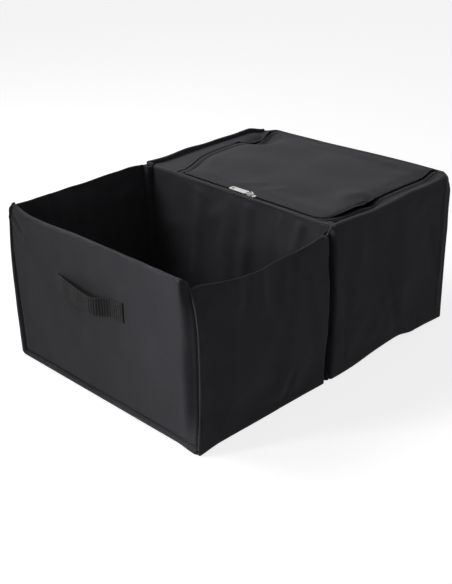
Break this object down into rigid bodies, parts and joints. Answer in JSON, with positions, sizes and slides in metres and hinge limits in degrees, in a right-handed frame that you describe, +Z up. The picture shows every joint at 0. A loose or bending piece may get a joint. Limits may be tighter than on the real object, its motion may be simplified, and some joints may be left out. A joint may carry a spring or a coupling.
{
  "type": "car trunk organizer",
  "caption": "Soft black car trunk organizer with an open compartment, an insulated compartment with a zipped lid, and webbing end handles.",
  "frame": {"origin": "middle of the organizer's footprint, on the surface it stands on", "axes": "+Z up, +Y along the length towards the insulated compartment, +X across the width"},
  "size_m": [0.44, 0.644, 0.2734],
  "materials": {
    "shell_fabric": "woven polyester, matt with a faint sheen",
    "board_cover": "woven polyester, matt",
    "piping": "folded woven tape",
    "webbing": "ribbed webbing",
    "stiffener_board": "grey board",
    "foam": "closed-cell foam",
    "cooler_film": "grey welded film",
    "zip_tape": "woven tape",
    "zip_coil": "nylon coil",
    "zip_metal": "nickel plated, satin"
  },
  "bodies": {
    "root": {"end_panel_cover": "shell_fabric", "end_panel_board": "stiffener_board", "end_handle": "webbing", "corner_piping_left": "piping", "corner_piping_right": "piping", "open_wall_left": "shell_fabric", "open_wall_right": "shell_fabric", "open_base_fabric": "shell_fabric", "open_base_board": "board_cover", "cooler_near_panel": "shell_fabric", "cooler_wall_left": "shell_fabric", "cooler_wall_right": "shell_fabric", "cooler_back_panel": "shell_fabric", "back_board": "stiffener_board", "back_corner_piping_left": "piping", "back_corner_piping_right": "piping", "back_handle": "webbing", "cooler_base_fabric": "shell_fabric", "foam_base": "foam", "foam_right": "foam", "foam_left": "foam", "foam_near": "foam", "foam_back": "foam", "cooler_liner": "cooler_film", "top_border": "shell_fabric", "near_top_piping": "piping", "hinge_piping": "piping", "zip_tape_border": "zip_tape", "zip_coil_border": "zip_coil"},
    "lid": {"lid_fabric": "shell_fabric", "lid_foam": "foam", "lid_lining": "cooler_film", "zip_tape_lid": "zip_tape", "zip_coil_lid": "zip_coil"},
    "slider": {"zip_slider": "zip_metal"},
    "pull": {"zip_pull": "zip_metal"}
  },
  "joints": [
    {"name": "lid_hinge", "type": "hinge", "parent": "root", "child": "lid", "pos_m": [0, 0.2978, 0.2668], "axis": [-1, 0, 0], "range_deg": [0, 180]},
    {"name": "zip_slide", "type": "slide", "parent": "lid", "child": "slider", "axis": [1, 0, 0], "range_m": [-0.15, 0.118]},
    {"name": "pull_swing", "type": "hinge", "parent": "slider", "child": "pull", "pos_m": [0.032, 0.006, 0.26915], "axis": [0, 1, 0], "range_deg": [0, 180]}
  ]
}
